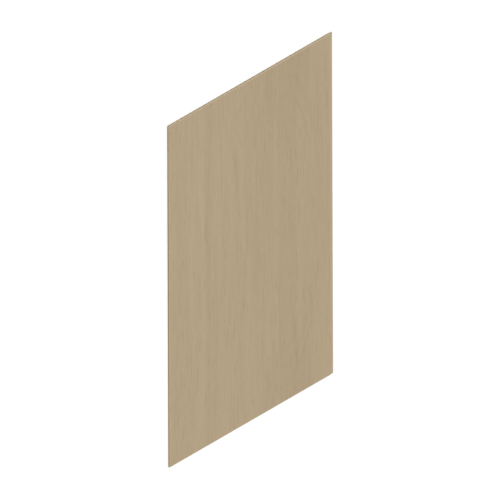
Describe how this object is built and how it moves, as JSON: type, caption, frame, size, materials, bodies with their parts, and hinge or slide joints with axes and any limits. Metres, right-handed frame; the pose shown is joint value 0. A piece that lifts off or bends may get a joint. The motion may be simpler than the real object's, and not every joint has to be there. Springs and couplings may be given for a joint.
{
  "type": "wood-plastic composite wall panel",
  "caption": "Flat wall panel of wood-plastic composite with a wood-grain face, bevelled edges, a tongue along one long edge and a groove along the other.",
  "frame": {"origin": "centre of the underside of the whole board, tongue included", "axes": "+X across the width towards the tongue, +Y along the length, +Z out of the decorative face"},
  "size_m": [1.22, 2.2, 0.012],
  "materials": {
    "composite": "matte"
  },
  "bodies": {
    "root": {"panel": "composite"}
  },
  "joints": []
}
